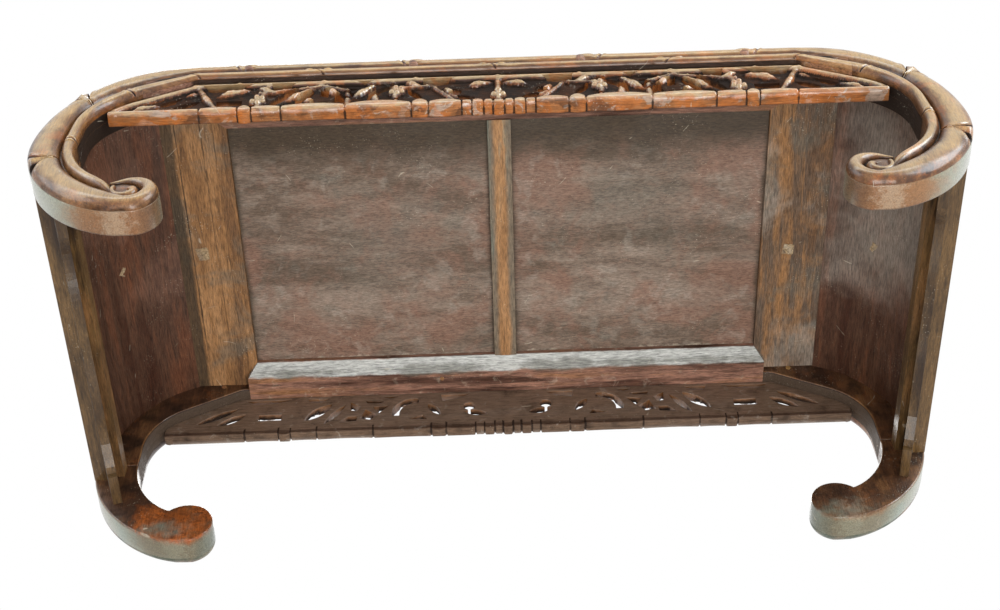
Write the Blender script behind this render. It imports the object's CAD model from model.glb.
import itertools
import math

import bpy
import numpy as np
from bpy.props import FloatProperty, FloatVectorProperty, PointerProperty
from bpy.types import Operator, Panel, PropertyGroup
from mathutils import Matrix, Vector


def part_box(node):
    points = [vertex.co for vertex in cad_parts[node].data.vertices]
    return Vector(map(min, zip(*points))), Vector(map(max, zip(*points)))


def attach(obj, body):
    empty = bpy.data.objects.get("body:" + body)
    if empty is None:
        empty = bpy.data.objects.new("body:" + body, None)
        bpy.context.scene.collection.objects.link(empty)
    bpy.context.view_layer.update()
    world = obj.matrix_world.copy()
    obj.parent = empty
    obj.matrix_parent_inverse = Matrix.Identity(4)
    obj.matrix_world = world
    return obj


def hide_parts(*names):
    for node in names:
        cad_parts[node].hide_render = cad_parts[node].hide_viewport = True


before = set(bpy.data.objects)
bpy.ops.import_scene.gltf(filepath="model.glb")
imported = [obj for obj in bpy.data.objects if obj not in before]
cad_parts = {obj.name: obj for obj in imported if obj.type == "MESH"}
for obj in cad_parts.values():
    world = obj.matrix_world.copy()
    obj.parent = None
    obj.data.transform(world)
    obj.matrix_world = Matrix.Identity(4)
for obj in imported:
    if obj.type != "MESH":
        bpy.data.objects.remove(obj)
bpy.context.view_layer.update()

bl_info = {
    "name": "Opium Table",
    "version": (1, 0, 0),
    "blender": (4, 5, 0),
    "location": "View3D > Sidebar > Opium Table",
    "description": "Dresses the table's frame with its carved bamboo, aprons and worn wood",
    "category": "Object",
}

HALF_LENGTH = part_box("foot_front_right")[1].x
TOP_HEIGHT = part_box("top_panel_right")[1].z
# The end rails' tenons and the end boards stop at the same depth in the planks
INNER_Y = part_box("end_rail_right")[1].y


# Properties

def length(name, text, value):
    return FloatProperty(name=name, description=text, default=value, unit="LENGTH", precision=4)


def number(name, text, value):
    return FloatProperty(name=name, description=text, default=value, precision=3)


def degrees(name, text, value):
    return FloatProperty(name=name, description=text, default=math.radians(value), unit="ROTATION")


def tone(name, text, value):
    return FloatVectorProperty(name=name, description=text, default=value, size=3,
                               min=0.0, max=1.0, subtype="COLOR")


class LegForm(PropertyGroup):
    """Outline of the C legs, shared by the rails' ends and the rolled ends."""
    plank_face: length("Plank face", "Depth of the planks' outer face from the middle", 0.300)
    plank: length("Plank", "Thickness of the leg planks", 0.044)
    width: length("Leg width", "Width of the C at the waist", 0.064)
    waist: length("Waist", "Height of the widest point", 0.175)
    curve_run: length("Curve run", "Run of the upper curve", 0.185)
    foot_run: length("Foot run", "Run of the foot back to the scroll", 0.155)
    fullness: number("Fullness", "Fullness of the foot, where 2 is an ellipse", 1.85)
    scroll: length("Scroll", "Radius of the scroll", 0.040)
    sole_wear: length("Sole wear", "Depth worn off the sole", 0.0015)
    throat: length("Throat", "Height of the foot's hollow side", 0.060)
    shoulder_run: length("Shoulder run", "From the widest point to the rail's straight edge", 0.203)
    shoulder_slope: degrees("Shoulder slope", "Slope of the shoulder's lower edge", 30)
    armpit: length("Armpit", "Radius between shoulder and leg", 0.105)
    rail_height: length("Rail height", "Height of the long rails", 0.034)
    lap_out: length("Lap", "From the widest point to the outer end of the half lap", 0.130)
    lap_length: length("Lap length", "Length of the half lap", 0.085)
    arris: length("Arris", "Radius of the planks' worn edges", 0.0028)
    board: length("End board", "Thickness of the bent end boards", 0.012)
    board_joint: degrees("Board joint", "Angle on the curve where the end boards meet", 43)
    board_start: length("Board start", "From the widest point to the first end board", 0.129)
    board_low: length("Board low", "Height of the lower end board's bottom edge", 0.190)


class BambooForm(PropertyGroup):
    """Bamboo mouldings along the rails and legs."""
    rail_share: number("Rail share", "Share of the rail's height that the outer bamboo takes", 0.58)
    leg_share: number("Leg share", "Share of the leg's width that the outer bamboo takes", 0.69)
    outer_height: length("Outer height", "Height of the outer bamboo", 0.0070)
    inner_height: length("Inner height", "Height of the inner bamboo", 0.0065)
    knot: length("Knot", "Length of bamboo that a knot takes", 0.013)
    leaf: length("Leaf", "Width of the leaf buds on the legs", 0.036)
    leaf_angle: degrees("Leaf angle", "Angle of the knee's leaf bud on the upper curve", 39)
    sunk: length("Sunk", "Depth of the mouldings' edges behind the plank face", 0.006)
    bud_length: length("Bud length", "Length of a bud on the rail", 0.036)
    bud_width: length("Bud width", "Width of a bud on the rail", 0.016)
    bud_height: length("Bud height", "Height of a bud over the bamboo", 0.0017)
    eye: length("Eye", "Radius of the hollow round the scroll's eye", 0.014)


class ApronForm(PropertyGroup):
    """Pierced and carved aprons of the long sides."""
    low: length("Lower edge", "Height of the aprons' lower edge", 0.270)
    end_run: length("End run", "From the widest point to the aprons' ends", 0.087)
    setback: length("Setback", "From the plank face to the board's face", 0.0135)
    board: length("Board", "Thickness of the pierced board", 0.0115)
    relief: length("Relief", "Height of the carving over the board", 0.0092)
    border: length("Border", "Width of the bamboo border", 0.012)
    mesh_step: length("Mesh step", "Distance between points of the carved surface", 0.0016)


class WoodTones(PropertyGroup):
    """Colours of the table's woods and wear."""
    dark: tone("Dark", "Dark streaks of the rosewood", (0.040, 0.014, 0.007))
    middle: tone("Middle", "Main tone of the polished rosewood", (0.125, 0.046, 0.022))
    light: tone("Light", "Light streaks of the rosewood", (0.27, 0.125, 0.055))
    rubbed: tone("Rubbed", "Polished ridges where hands have worn it", (0.43, 0.255, 0.085))
    ridge: tone("Ridge", "Pale ridges of the apron's carving", (0.46, 0.300, 0.145))
    sheen: tone("Sheen", "Grey-green old polish on the legs' outer sides", (0.150, 0.215, 0.175))
    ochre_dark: tone("Ochre dark", "Dark streaks of the orange boards", (0.115, 0.056, 0.025))
    burr: tone("Burr", "Red-orange figure on the left back foot", (0.40, 0.100, 0.018))
    rail_dark: tone("Rail dark", "Dark streaks of the end rails", (0.022, 0.010, 0.004))
    rail_brown: tone("Rail brown", "Main tone of the end rails", (0.062, 0.034, 0.013))
    rail_gold: tone("Rail gold", "Light streaks of the end rails", (0.125, 0.070, 0.026))
    leg_dark: tone("Leg dark", "Dark streaks of the legs and mouldings", (0.040, 0.016, 0.008))
    leg_brown: tone("Leg brown", "Main tone of the legs and mouldings", (0.165, 0.066, 0.022))
    leg_light: tone("Leg light", "Light streaks of the legs and mouldings", (0.32, 0.155, 0.055))
    orange: tone("Orange", "Bare wood in chips and on the aprons' lower edges", (0.40, 0.112, 0.018))
    mahogany: tone("Mahogany", "Red-brown underside of the rails", (0.270, 0.140, 0.098))
    sole: tone("Sole", "Worn wood under the feet", (0.250, 0.112, 0.044))
    board: tone("Board", "Unfinished boards under the top", (0.166, 0.120, 0.090))
    board_light: tone("Board light", "Light streaks of the unfinished boards", (0.238, 0.181, 0.141))
    board_dark: tone("Board dark", "Dark streaks of the unfinished boards", (0.105, 0.072, 0.050))
    board_deep: tone("Board deep", "Main tone of the end boards inside", (0.070, 0.033, 0.019))
    board_red: tone("Board red", "Red clouds in the boards", (0.205, 0.108, 0.074))
    board_edge: tone("Board edge", "Dark dirt along the boards' edges", (0.046, 0.031, 0.018))
    ochre: tone("Ochre", "Main tone of the orange boards", (0.265, 0.130, 0.050))
    ochre_light: tone("Ochre light", "Light streaks of the orange boards", (0.36, 0.190, 0.082))
    bloom: tone("Bloom", "Grey-green bloom on old wood", (0.108, 0.106, 0.086))
    haze: tone("Haze", "Pale dusty haze on old wood", (0.36, 0.315, 0.265))
    planed: tone("Planed", "Bare planed wood of the bevel", (0.430, 0.440, 0.420))
    grime: tone("Grime", "Dirt in the creases", (0.016, 0.009, 0.006))
    dust: tone("Dust", "Dust and dried glue", (0.50, 0.44, 0.34))
    paper: tone("Paper", "Blank scraps of old paper", (0.36, 0.25, 0.13))


class StageForm(PropertyGroup):
    """Camera, floor and lamps."""
    eye: FloatVectorProperty(name="Camera", description="Place of the camera",
                             default=(-0.0166, -1.3046, -1.7733), subtype="TRANSLATION")
    turn: FloatVectorProperty(name="Turn", description="Turn of the camera round X, Y and Z in degrees",
                              default=(146.5487, 1.2608, 1.5086), size=3)
    lens: number("Lens", "Focal length in millimetres", 58.187)
    floor: tone("Floor", "Colour of the floor", (0.80, 0.80, 0.79))
    ambient: number("Ambient", "Strength of the world's light", 0.46)


# Outline of the C leg, for the right end, in X and Z

def lerp(a, b, f):
    return a + (b - a) * f


def capped(value):
    """Kept between 0 and 1."""
    return np.clip(value, 0, 1)


def bell(value, width):
    return np.exp(-(value / width) ** 2)


def direction(vectors):
    """The same vectors with a length of 1."""
    return vectors / np.linalg.norm(vectors, axis=-1, keepdims=True)


def upper_curve(form, angle, inset=0.0):
    """Points of a quarter ellipse round (half length - run, waist), drawn in by the inset."""
    x = HALF_LENGTH - form.curve_run + (form.curve_run - inset) * np.cos(angle)
    z = form.waist + (TOP_HEIGHT - form.waist - inset) * np.sin(angle)
    return np.stack([x, z], -1)


def foot_curve(form, f, inset=0.0, hollow=False):
    """Points of a quarter superellipse from the waist (f = 0) to the scroll (f = 1)."""
    run = form.foot_run - (form.width if hollow else 0.0)
    drop = form.waist - form.throat if hollow else form.waist + form.sole_wear
    sign = -1 if hollow else 1
    cos, sin = np.cos(f * np.pi / 2), np.sin(f * np.pi / 2)
    power = 2 / form.fullness
    x = HALF_LENGTH - form.foot_run + (run - sign * inset) * np.abs(cos) ** power
    z = form.waist - (drop - sign * inset) * np.abs(sin) ** power
    return np.stack([x, z], -1)


def scroll_centre(form):
    return np.array([HALF_LENGTH - form.foot_run, form.scroll - form.sole_wear])


def scroll_rim(form, angle, radius):
    """Points round the scroll, by the angle turned from its sole towards its tip."""
    return scroll_centre(form) + np.stack([-radius * np.sin(angle), -radius * np.cos(angle)], -1)


def shoulder_points(form):
    """Corner where the shoulder leaves the rail, centre of the armpit arc and its turn."""
    corner = np.array([HALF_LENGTH - form.shoulder_run, TOP_HEIGHT - form.rail_height])
    side = HALF_LENGTH - form.width
    turn = np.pi / 2 - form.shoulder_slope
    meet = corner[1] - (side - corner[0]) * math.tan(form.shoulder_slope)
    centre = np.array([side - form.armpit, meet - form.armpit * math.tan(turn / 2)])
    return corner, centre, turn


def armpit_curve(form, angle):
    """Points of the arc on the hollow side of the knee."""
    _, centre, _ = shoulder_points(form)
    return centre + form.armpit * np.stack([np.cos(angle), np.sin(angle)], -1)


def shoulder_height(form, x):
    """Height of the rail's and shoulder's lower edge: flat, then down at the shoulder's slope."""
    corner, _, _ = shoulder_points(form)
    return corner[1] - np.maximum(np.abs(x) - corner[0], 0) * math.tan(form.shoulder_slope)


def top_edge(form, x):
    """Height of the table's upper edge: flat, then along the upper curve."""
    start = HALF_LENGTH - form.curve_run
    angle = np.arccos(capped((np.abs(x) - start) / form.curve_run))
    return np.where(np.abs(x) <= start, TOP_HEIGHT, upper_curve(form, angle)[..., 1])


def notch_share(form):
    """Share of the foot's run where its hollow side meets the scroll."""
    f = np.linspace(0.5, 1, 400)
    gap = np.linalg.norm(foot_curve(form, f, hollow=True) - scroll_centre(form), axis=1)
    return f[np.argmax(gap < form.scroll)]


# Shells: points, faces and a wear value for each point

def flipped(faces):
    return [block[:, ::-1] for block in faces]


def tube_faces(rows, columns):
    """Quads between a tube's rings, and a cap at each end."""
    i = np.arange(rows - 1)[:, None] * columns
    j = np.arange(columns)[None, :]
    k = (j + 1) % columns
    quads = np.stack([i + j, i + columns + j, i + columns + k, i + k], -1).reshape(-1, 4)
    return [quads, j, j[:, ::-1] + (rows - 1) * columns]


def in_space(flat, y):
    """Points from X and Z in their last axis, with Y put between them."""
    return np.stack([flat[..., 0], np.broadcast_to(y, flat.shape[:-1]), flat[..., 1]], -1)


def run_along(line):
    """Distance of each point along a line."""
    return np.concatenate([[0], np.cumsum(np.linalg.norm(np.diff(line, axis=0), axis=1))])


def anticlockwise(outline):
    """Whether an outline in X and Z turns that way, by the sign of its area."""
    ahead = np.roll(outline, -1, 0)
    return np.sum(outline[:, 0] * ahead[:, 1] - outline[:, 1] * ahead[:, 0]) > 0


def slab(outline, front, back, arris_front, arris_back, edge_wear=0.0):
    """A plank from an outline in X and Z. Its faces are rounded: ring n stands in from the
    outline by r (1 - sin t) and back from the face by r (1 - cos t)."""
    count = len(outline)
    ahead = direction(np.roll(outline, -1, 0) - outline)
    mean = direction(ahead + np.roll(ahead, 1, 0))
    outward = np.stack([mean[:, 1], -mean[:, 0]], 1)
    edge_out = np.stack([ahead[:, 1], -ahead[:, 0]], 1)
    outward /= np.maximum((outward * edge_out).sum(1, keepdims=True), 0.5)
    turn = np.linspace(0, np.pi / 2, 5)
    points = []
    for r, face, way, turns in ((arris_front, front, 1, turn), (arris_back, back, -1, turn[::-1])):
        r = np.broadcast_to(r, count)
        for t in turns:
            inset = r * (1 - math.sin(t))
            points.append(in_space(outline - outward * inset[:, None], face + way * r * (1 - math.cos(t))))
    wear = np.zeros((len(points), count))
    wear[1:4] = wear[-4:-1] = 0.5
    wear[3:7] += edge_wear
    return np.concatenate(points), tube_faces(len(points), count), wear.ravel()


def ring_knot(rise, wear, along, t, place, size, lean):
    """Two lips with a groove between them, leaning across the bamboo, on a gentle swelling."""
    q = (along - place - lean * size * t) / size
    lips = bell(np.abs(q) - 0.30, 0.16)
    groove = bell(q, 0.11)
    side = capped(1 - np.abs(t) ** 6)
    rise = rise * (1 + 0.04 * bell(q, 1.6)) + side * size * (0.075 * lips - 0.19 * groove)
    return rise, wear + side * (0.3 * lips - 1.2 * groove)


def leaf_knot(rise, wear, along, t, place, size, high):
    """A leaf bud set into the bamboo. It is as wide as the size on the outer edge, narrows in
    a hollow curve to a point at 4/5 of the way across, and has a sharp ridge. A groove and
    a lip run round it, and a thin ring goes on to the inner edge."""
    share = (1 + t) / 2
    half = np.maximum(size / 2 * capped(1 - share / 0.80) ** 1.35, 0.0020)
    q = np.abs(along - place) / half
    leaf = capped(1 - q / 0.74)
    groove = bell(q - 0.90, 0.20)
    lip = bell(q - 1.42, 0.30) * capped(1 - np.abs(t) ** 6)
    full = high * capped(1 - np.abs(t) ** 8) ** 0.6
    tall = full * (0.72 + 0.36 * leaf * capped(1.15 - share * 0.7))
    rise = rise * (1 - 0.16 * bell(q, 1.8)) * (1 - 0.55 * groove) + 0.11 * high * lip
    rise = np.where((leaf > 0) & (share < 0.80), np.maximum(tall, rise * 0.4), rise)
    return rise, wear + 0.5 * leaf + 0.3 * lip - 1.5 * groove


def roll(form, edge_a, edge_b, height, rings=(), leaves=(), columns=18, taper=(0, 0), sunk=0.0, blend=0.0):
    """A bamboo moulding on the plank's front face between two edge lines. Across it t runs
    from -1 to 1 and it stands up by (height + sunk) (1 - |t|^2.4)^0.6 from its edges, which
    lie behind the plank face by sunk, growing from 0 over the first run of length blend."""
    middle = (edge_a + edge_b) / 2
    along = run_along(middle)
    t = -np.cos(np.pi * np.linspace(0, 1, columns))[None, :]
    sunk_here = sunk * capped(along / blend) if blend else np.full(len(along), sunk)
    high = np.broadcast_to(height, len(along)) + sunk_here
    for run, distance in zip(taper, (along, along[-1] - along)):
        if run:
            reach = capped(distance / run)
            high *= np.sqrt(reach * (2 - reach))
    across = capped(1 - np.abs(t) ** 2.4) ** 0.6
    rise = high[:, None] * across
    wear = 0.05 + 0.75 * across ** 3 + np.zeros_like(rise)
    for knot in rings:
        rise, wear = ring_knot(rise, wear, along[:, None], t, *knot)
    for leaf in leaves:
        rise, wear = leaf_knot(rise, wear, along[:, None], t, *leaf, high[:, None])
    share = (1 + t[..., None]) / 2
    flat = lerp(edge_a[:, None, :], edge_b[:, None, :], share)
    bedded = 0.0022
    base = in_space(np.stack([edge_b, edge_a], 1), bedded + sunk - form.plank_face)
    points = np.concatenate([in_space(flat, -form.plank_face + sunk_here[:, None] - rise), base], 1)
    wear = np.concatenate([wear, np.zeros((len(along), 2))], 1)
    faces = tube_faces(len(along), columns + 2)
    spine = edge_b[0] - edge_a[0]
    step = middle[min(3, len(middle) - 1)] - middle[0]
    if spine[0] * step[1] - spine[1] * step[0] < 0:
        faces = flipped(faces)
    return points.reshape(-1, 3), faces, wear.ravel()


def bud(form, place, axis, size, stand):
    """A leaf bud: along it u runs from its base to its tip, across it v from -1 to 1. It is
    widest near the base, and a sharp ridge runs down its middle."""
    rows, columns = 22, 15
    long_side, wide_side, high = size
    axis = direction(np.array(axis, float))
    side = np.array([-axis[1], axis[0]])
    u = np.linspace(0, 1, rows)[:, None]
    v = np.linspace(-1, 1, columns)[None, :]
    half = wide_side / 2 * np.sin(np.pi * u ** 0.75) ** 0.8
    ridge = np.sin(np.pi * u ** 0.9) ** 0.7 * (1 - np.abs(v) ** 1.15) ** 0.9
    flat = np.array(place) + (u * long_side)[..., None] * axis + (half * v)[..., None] * side
    y = -form.plank_face - stand * np.sin(np.pi * u) ** 0.3 * (1 - 0.35 * v ** 4) - high * ridge
    base = in_space(flat[:, [-1, 0]], 0.002 - form.plank_face)
    points = np.concatenate([in_space(flat, y), base], 1)
    wear = np.concatenate([0.2 + 0.8 * ridge, np.zeros((rows, 2))], 1)
    return points.reshape(-1, 3), flipped(tube_faces(rows, columns + 2)), wear.ravel()


def make_piece(name, shells, finish, stands_for=(), way_x=1, way_y=1):
    """Joins shells into one object that rides on the table, mirrored in X or Y where the way
    is -1."""
    points = np.concatenate([s[0] for s in shells]) * (way_x, way_y, 1)
    starts = np.cumsum([0] + [len(s[0]) for s in shells[:-1]])
    blocks = [block + start for shell, start in zip(shells, starts) for block in shell[1]]
    if way_x * way_y < 0:
        blocks = flipped(blocks)
    corners = np.concatenate([b.ravel() for b in blocks])
    sizes = np.concatenate([np.full(len(b), b.shape[1]) for b in blocks])
    mesh = bpy.data.meshes.new(name)
    mesh.vertices.add(len(points))
    mesh.vertices.foreach_set("co", points.astype(np.float32).ravel())
    mesh.loops.add(len(corners))
    mesh.loops.foreach_set("vertex_index", corners.astype(np.int32))
    mesh.polygons.add(len(sizes))
    mesh.polygons.foreach_set("loop_start", (np.cumsum(sizes) - sizes).astype(np.int32))
    mesh.polygons.foreach_set("use_smooth", np.ones(len(sizes), bool))
    wear = mesh.attributes.new("wear", "FLOAT", "POINT")
    wear.data.foreach_set("value", np.concatenate([s[2] for s in shells]).astype(np.float32))
    mesh.update(calc_edges=True)
    mesh.validate()
    mesh.set_sharp_from_angle(angle=math.radians(48))
    mesh.materials.append(finish_named(finish))
    piece = bpy.data.objects.new(name, mesh)
    bpy.context.scene.collection.objects.link(piece)
    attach(piece, "root")
    if stands_for:
        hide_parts(*stands_for)


# Carved surfaces

def lens(u, v, x, z, long_side, wide_side, turn):
    """Signed distance to a pointed leaf, which is where two equal circles overlap, and the
    distances along and across it from its middle."""
    radius = (long_side ** 2 + wide_side ** 2) / (4 * wide_side)
    c, s = math.cos(math.radians(turn)), math.sin(math.radians(turn))
    a = (u - x) * c + (v - z) * s
    b = -(u - x) * s + (v - z) * c
    away = np.hypot(a, np.abs(b) + radius - wide_side / 2) - radius
    return away, a, b


def disc(u, v, place, radius):
    return np.hypot(u - place[0], v - place[1]) - radius


def convex(u, v, corners):
    """Signed distance to a convex outline, from the lines along its sides."""
    corners = np.array(corners, float)
    away = np.full(np.broadcast(u, v).shape, -1.0)
    middle = corners.mean(0)
    for a, b in zip(corners, np.roll(corners, -1, 0)):
        normal = direction(np.array([b[1] - a[1], a[0] - b[0]]))
        if normal @ (middle - a) > 0:
            normal = -normal
        away = np.maximum(away, (u - a[0]) * normal[0] + (v - a[1]) * normal[1])
    return away


def stroke(u, v, a, b):
    """Distance to a straight line from a to b, and the distance along it."""
    a, b = np.array(a, float), np.array(b, float)
    run = b - a
    f = capped(((u - a[0]) * run[0] + (v - a[1]) * run[1]) / (run @ run))
    return np.hypot(u - a[0] - f * run[0], v - a[1] - f * run[1]), f * np.linalg.norm(run)


# Openings, leaves and berries of half an apron, in millimetres from the middle of its
# lower edge. The other half is its mirror image. A long opening and a leaf are a place, a
# length, a width and a turn in degrees, and a stalk is its two ends and half its width.
LONG_OPENINGS = [(469, 46, 76, 14, -31), (445, 36, 52, 15, -31), (306, 50, 60, 20, -45),
                 (279, 43, 58, 11, -56), (119, 48, 36, 13, 55), (52, 36, 40, 14, 12)]
CUT_OPENINGS = [
    [(365, 32), (402, 32), (402, 48), (365, 48)], [(346, 86), (372, 79), (410, 76), (428, 86)],
    [(288, 86), (302, 77), (322, 77), (326, 86)], [(238, 62), (243, 50), (254, 52), (255, 74)],
    [(192, 62), (208, 42), (219, 60)], [(210, 38), (222, 26), (238, 30), (230, 54)],
    [(242, 36), (244, 24), (272, 22), (258, 36)], [(176, 86), (191, 80), (206, 86)],
    [(200, 74), (206, 69), (228, 70), (231, 77)], [(130, 22), (160, 25), (137, 34)],
    [(44, 86), (74, 78), (90, 68), (105, 66), (108, 86)]]
LEAVES = [(26, 68, 46, 14, -14), (68, 42, 52, 14, 62), (120, 72, 40, 14, 38), (176, 34, 44, 13, 72),
          (192, 55, 66, 15, -50), (236, 56, 64, 15, 46), (284, 50, 74, 16, -44), (262, 28, 40, 10, 10),
          (330, 68, 46, 12, 34), (378, 62, 62, 15, -22), (414, 44, 56, 14, 62), (456, 52, 78, 11, -31),
          (446, 33, 50, 9, -30), (500, 22, 56, 10, -28)]
BERRY_BUNCHES = [(145, 52), (342, 36), (0, 34)]
# The bow lies between two circles and past a corner. The round opening is a circle.
BOW_OUTER, BOW_INNER, BOW_CORNER = ((150, 42), 37), ((146, 38), 29), (144, 34)
ROUND_OPENING = (62, 54), 10
STALKS = [((0, 20), (0, 84), 5), ((60, 14), (92, 62), 4), ((145, 20), (152, 84), 5),
          ((214, 12), (214, 60), 5), ((214, 60), (262, 84), 4), ((342, 14), (330, 84), 5),
          ((400, 16), (430, 80), 5), ((100, 66), (150, 62), 4), ((255, 76), (340, 60), 4)]
# Joints of the lower border: start, end, rise of its upper edge and drop of its lower edge
BORDER_JOINTS = [(-8, 8, 5, 4), (9, 21, 3, 1), (22, 38, 8, 3), (39, 52, 1, 0), (52, 99, 12, 3),
                 (99, 123, 17, 4), (123, 216, 15, 2), (216, 306, 9, 0), (306, 348, 5, 0),
                 (349, 367, 14, 4), (367, 421, 5, 0), (421, 560, 0, 0)]
# Knots of the border along the upper edge, the shoulders and the ends
BORDER_KNOTS = (0, 118, 250, 372, 436)


def border_joint(u):
    """Width of the lower border, the drop of its edge and a bell at the end of each joint.
    Within a joint the upper edge rises and the lower edge drops by a half sine."""
    width, drop, joint = np.full(u.shape, 12.0), np.zeros(u.shape), np.zeros(u.shape)
    for start, end, rise, fall in BORDER_JOINTS:
        f = (u - start) / (end - start)
        here = (f >= 0) & (f < 1)
        swell = np.sin(np.pi * capped(f))
        width = np.where(here, 11 + rise * swell ** 0.7, width)
        drop = np.where(here, fall * swell ** 0.35, drop)
        joint = np.maximum(joint, bell(u - end, 0.9))
    return width, drop, joint


def apron_edges(legs, apron, u, v):
    """Distance in from the apron's shoulder or end, whichever is nearer, and from its upper
    edge."""
    corner, centre, turn = shoulder_points(legs)
    corner, centre = corner * 1000, centre * 1000
    low, radius, slope = apron.low * 1000, legs.armpit * 1000, legs.shoulder_slope
    z = v + low
    line = (corner[1] - (u - corner[0]) * math.tan(slope) - z) * math.cos(slope)
    arc = radius - np.hypot(u - centre[0], z - centre[1])
    arc_starts = centre[0] + radius * math.cos(turn)
    shoulder = np.where(u < arc_starts, line, np.where(z > centre[1], arc, 99.0))
    end = (HALF_LENGTH - apron.end_run) * 1000 - u
    return np.minimum(shoulder, end), corner[1] - z


def apron_wood(legs, apron, u, v):
    """Signed distance into the wood of an apron, which is negative in its openings."""
    side, top = apron_edges(legs, apron, u, v)
    _, drop, _ = border_joint(u)
    wood = np.minimum(np.minimum(side, top + 0.01), v + drop)
    for opening in LONG_OPENINGS:
        wood = np.minimum(wood, lens(u, v, *opening)[0])
    for corners in CUT_OPENINGS:
        wood = np.minimum(wood, convex(u, v, corners))
    bow = np.maximum(np.maximum(disc(u, v, *BOW_OUTER), -disc(u, v, *BOW_INNER)),
                     np.maximum(BOW_CORNER[0] - u, BOW_CORNER[1] - v))
    return np.minimum(np.minimum(wood, bow), disc(u, v, *ROUND_OPENING))


def dome(f):
    return np.sqrt(capped(1 - f ** 2))


def apron_relief(legs, apron, u, v):
    """Height of the carving in millimetres. Every leaf, stalk, berry and border bamboo is a
    dome over its own outline, and the highest one shows."""
    high, border = apron.relief * 1000, apron.border * 1000
    side, top = apron_edges(legs, apron, u, v)
    width, drop, joint = border_joint(u)
    frame_edge = np.minimum(side, top)
    knots = sum(bell(u - knot, 3.0) for knot in BORDER_KNOTS)
    relief = high * (0.86 + 0.16 * knots) * dome((frame_edge - border / 2) / (border / 2))
    lower = (v + drop - width / 2) / (width / 2)
    relief = np.maximum(relief, high * (1.05 - 0.55 * joint) * dome(lower) ** 0.8)
    for a, b, wide in STALKS:
        away, along = stroke(u, v, a, b)
        ring = bell((along + 7) % 17 - 8.5, 1.2)
        relief = np.maximum(relief, high * 0.62 * (1 + 0.25 * ring) * dome(away / wide))
    for n, (x, z, long_side, wide_side, turn) in enumerate(LEAVES):
        away, a, b = lens(u, v, x, z, long_side, wide_side, turn)
        depth = capped(-away / (wide_side / 2))
        lean = 1 + (0.22 if n % 2 else -0.22) * np.clip(b / wide_side * 2, -1, 1)
        curl = 0.80 + 0.30 * np.sin(np.pi * (a / long_side + 0.5)) + 0.12 * np.sin(a / 4.5)
        notch = 0.8 * np.sin(a / 1.3 + 1.5 * np.sign(b)) * (1 - depth) * (depth > 0)
        vein = 1.8 * bell(b, 1.0) * (depth > 0.1)
        relief = np.maximum(relief, high * curl * lean * depth ** 0.55 + notch - vein)
    for x, z in BERRY_BUNCHES:
        for n in range(6):
            angle = n * math.pi / 3 + 0.4
            reach = 8.2 if n else 0.0
            place = (x + reach * math.cos(angle), z + reach * math.sin(angle))
            away = np.hypot(u - place[0], v - place[1])
            relief = np.maximum(relief, (high + 1.2) * dome(away / 5.4) - 1.4 * bell(away, 1.1))
    return relief


def carved_apron(legs, apron):
    """The front apron as one closed shell. The carving is a height over a grid in X and Z,
    cells in an opening are left out, and the grid's points along an opening are moved onto
    its edge, down the slope of the distance."""
    def wood(x, v):
        return apron_wood(legs, apron, np.abs(x), v)

    end = (HALF_LENGTH - apron.end_run) * 1000
    tall = (TOP_HEIGHT - legs.rail_height - apron.low) * 1000
    step, lowest, probe = apron.mesh_step * 1000, -5, 0.2
    x, v = np.meshgrid(np.linspace(-end, end, int(2 * end / step) + 1),
                       np.linspace(lowest, tall, int((tall - lowest) / step) + 1), indexing="ij")
    filled = wood((x[1:, 1:] + x[:-1, :-1]) / 2, (v[1:, 1:] + v[:-1, :-1]) / 2) > 0
    padded = np.pad(filled, 1)
    cells_round = sum(padded[i:, j:][:x.shape[0], :x.shape[1]].astype(int) for i in (0, 1) for j in (0, 1))
    shown = cells_round > 0
    edge = shown & (cells_round < 4)
    for _ in range(3):
        slope_x = (wood(x + probe, v) - wood(x - probe, v)) / (2 * probe)
        slope_v = (wood(x, v + probe) - wood(x, v - probe)) / (2 * probe)
        pull = edge * np.clip(wood(x, v), -step, step) / np.maximum(slope_x ** 2 + slope_v ** 2, 0.3)
        x, v = x - pull * slope_x, v - pull * slope_v
    rounding = 0.9 * np.where(edge, 1, 1 - np.clip(wood(x, v), 0, 1.6) / 1.6)
    relief = (apron_relief(legs, apron, np.abs(x), v) - rounding)[shown]
    flat = np.stack([x / 1000, v / 1000 + apron.low], -1)[shown]
    face = apron.setback - legs.plank_face
    front = in_space(flat, face - relief / 1000)
    back = in_space(flat, face + apron.board - 0.0005 * edge[shown])

    count = shown.sum()
    number_of = np.full(x.shape, -1)
    number_of[shown] = np.arange(count)
    i, j = np.nonzero(filled)
    cells = np.stack([number_of[i, j], number_of[i + 1, j], number_of[i + 1, j + 1], number_of[i, j + 1]], 1)
    walls = []
    for di, dj, a, b in ((0, -1, 0, 1), (1, 0, 1, 2), (0, 1, 2, 3), (-1, 0, 3, 0)):
        bare = ~padded[i + 1 + di, j + 1 + dj]
        first, second = cells[bare, a], cells[bare, b]
        walls.append(np.stack([second, first, first + count, second + count], 1))
    high = np.clip(relief / (apron.relief * 1000), 0, 1.1)
    width, drop, joint = border_joint(np.abs(x[shown]))
    lower = v[shown] < width - drop
    crack = 0.8 * joint * lower
    wear = np.concatenate([1.25 * high ** 1.6 - 0.35 * (high < 0.5) * ~lower - crack, 0.1 - crack])
    return np.concatenate([front, back]), [cells, cells[:, ::-1] + count, *walls], wear


# Shader nodes

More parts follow.
